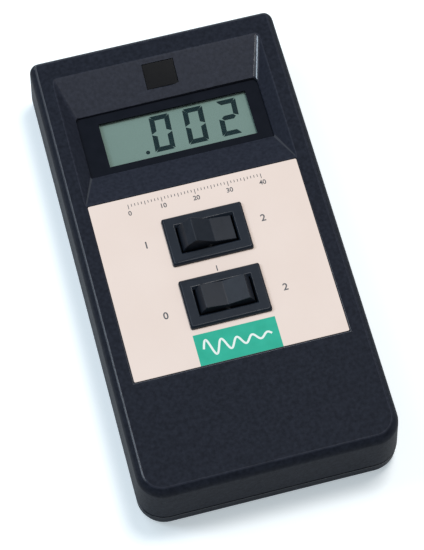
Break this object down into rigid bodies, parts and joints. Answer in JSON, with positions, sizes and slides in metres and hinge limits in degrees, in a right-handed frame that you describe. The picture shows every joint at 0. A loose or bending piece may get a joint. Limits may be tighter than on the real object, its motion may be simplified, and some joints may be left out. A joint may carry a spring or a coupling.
{
  "type": "handheld vibration meter",
  "caption": "Dark slab-shaped handheld vibration meter with a numeric liquid-crystal display in a sloped recess, a pale face label and rocker switches.",
  "frame": {"origin": "middle of the flat rear face, on which the meter lies", "axes": "+X to the meter's right seen from the front, +Y along the case toward its display end, +Z out of the front face"},
  "size_m": [0.0768, 0.1482, 0.0308],
  "materials": {
    "case_plastic": "finely grained, low sheen",
    "screw_steel": "zinc-plated",
    "plated_metal": "nickel- or tin-plated",
    "pin_steel": "ground",
    "brass": "turned",
    "label_film": "printed film",
    "dark_window": "gloss",
    "bezel_plastic": "moulded",
    "clear_lens": "clear",
    "display_glass": "with a polariser",
    "reflector_foil": "satin foil",
    "strip_rubber": "layered",
    "board_laminate": "green resist over glass laminate",
    "chip_plastic": "moulded",
    "film_coating": "dipped",
    "can_sleeve": "shrunk sleeve",
    "resistor_coat": "lacquered",
    "trimmer_plastic": "moulded",
    "battery_jacket": "wrapped",
    "snap_vinyl": "soft vinyl",
    "lead_insulation": "insulated wire",
    "pale_insulation": "insulated wire",
    "pad_foam": "open foam",
    "switch_plastic": "moulded, low gloss",
    "plunger_plastic": "moulded",
    "insulator_plastic": "turned"
  },
  "bodies": {
    "case": {"front_case": "case_plastic", "rear_case": "case_plastic", "case_screws": "screw_steel", "threaded_inserts": "brass", "face_label": "label_film", "square_window": "dark_window", "display_bezel": "bezel_plastic", "display_lens": "clear_lens", "lcd_front_glass": "display_glass", "lcd_rear_glass": "display_glass", "lcd_reflector": "reflector_foil", "contact_strips": "strip_rubber", "main_board": "board_laminate", "board_screws": "screw_steel", "converter_chip": "chip_plastic", "converter_pins": "plated_metal", "amplifier_chips": "chip_plastic", "amplifier_pins": "plated_metal", "film_capacitors": "film_coating", "electrolytic_capacitors": "can_sleeve", "resistors": "resistor_coat", "trimmer_bodies": "trimmer_plastic", "battery_case": "battery_jacket", "battery_terminals": "plated_metal", "snap_connector": "snap_vinyl", "snap_studs": "plated_metal", "battery_leads": "lead_insulation", "battery_pad": "pad_foam", "mode_switch_body": "switch_plastic", "mode_pivot_pin": "pin_steel", "mode_terminals": "plated_metal", "power_switch_body": "switch_plastic", "power_pivot_pin": "pin_steel", "power_terminals": "plated_metal", "switch_leads": "pale_insulation", "sensor_jack": "brass", "jack_insulator": "insulator_plastic", "jack_contact": "brass", "jack_washer": "plated_metal", "jack_nut": "brass", "jack_lead": "pale_insulation"},
    "door": {"battery_door": "case_plastic"},
    "mode_paddle": {"mode_rocker": "switch_plastic", "mode_plunger": "plunger_plastic", "mode_plunger_spring": "pin_steel"},
    "mode_arm": {"mode_contact_arm": "brass"},
    "power_paddle": {"power_rocker": "switch_plastic", "power_plunger": "plunger_plastic", "power_plunger_spring": "pin_steel"},
    "power_arm": {"power_contact_arm": "brass"},
    "gain_screw": {"gain_rotor": "brass"},
    "zero_screw": {"zero_rotor": "brass"}
  },
  "joints": [
    {"name": "mode_rocker_turn", "type": "hinge", "parent": "case", "child": "mode_paddle", "pos_m": [0, 0.0022, 0.0238], "axis": [0, 1, 0], "range_deg": [-44, 0]},
    {"name": "mode_arm_tilt", "type": "hinge", "parent": "case", "child": "mode_arm", "pos_m": [0, 0.0022, 0.0153], "axis": [0, 1, 0], "range_deg": [0, 16.1]},
    {"name": "power_rocker_turn", "type": "hinge", "parent": "case", "child": "power_paddle", "pos_m": [0, -0.0182, 0.0238], "axis": [0, 1, 0], "range_deg": [-22, 22]},
    {"name": "power_arm_tilt", "type": "hinge", "parent": "case", "child": "power_arm", "pos_m": [0, -0.0182, 0.0153], "axis": [0, 1, 0], "range_deg": [-8.1, 8.1]},
    {"name": "door_slide", "type": "slide", "parent": "case", "child": "door", "axis": [0, -1, 0], "range_m": [0, 0.034]},
    {"name": "gain_turn", "type": "hinge", "parent": "case", "child": "gain_screw", "pos_m": [-0.0042, 0.0416, 0.0075], "axis": [0, 0, 1], "range_deg": [-135, 135]},
    {"name": "zero_turn", "type": "hinge", "parent": "case", "child": "zero_screw", "pos_m": [0.0042, 0.0416, 0.0075], "axis": [0, 0, 1], "range_deg": [-135, 135]}
  ],
  "couplings": [
    {"joint": "mode_arm_tilt", "follows": "mode_rocker_turn", "ratio": -0.36364},
    {"joint": "power_arm_tilt", "follows": "power_rocker_turn", "ratio": -0.36364}
  ]
}
